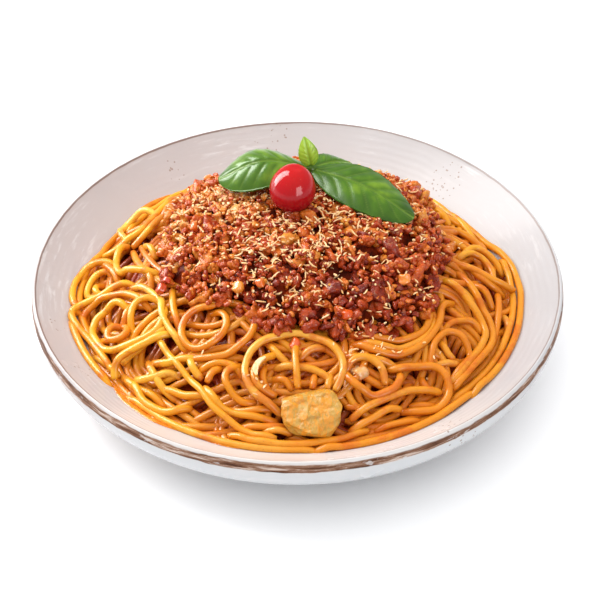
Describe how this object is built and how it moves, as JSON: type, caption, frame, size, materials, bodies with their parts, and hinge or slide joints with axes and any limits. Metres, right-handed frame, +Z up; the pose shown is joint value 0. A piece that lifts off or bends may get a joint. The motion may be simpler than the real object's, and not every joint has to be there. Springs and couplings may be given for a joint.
{
  "type": "spaghetti bolognese in a wide pasta bowl",
  "caption": "Heap of spaghetti under a mound of meat sauce with grated cheese, a cherry tomato and a basil sprig, in a wide shallow footed pasta bowl.",
  "frame": {"origin": "middle of the foot ring's underside, on the table", "axes": "+Z up; +Y away from the diner, towards the basil; +X to the diner's right"},
  "size_m": [0.23, 0.23, 0.0885],
  "materials": {
    "glaze": "white glaze with a worn brown rim",
    "noodle": "moist, lightly oiled",
    "meat": "wet, crumbly",
    "tomato": "smooth, shiny skin",
    "leaf": "satin leaf",
    "cheese": "matte, grainy"
  },
  "bodies": {
    "root": {"bowl": "glaze", "spaghetti": "noodle", "meat_sauce": "meat", "cherry_tomato": "tomato", "basil_sprig": "leaf", "cheese_chunk": "cheese"}
  },
  "joints": []
}
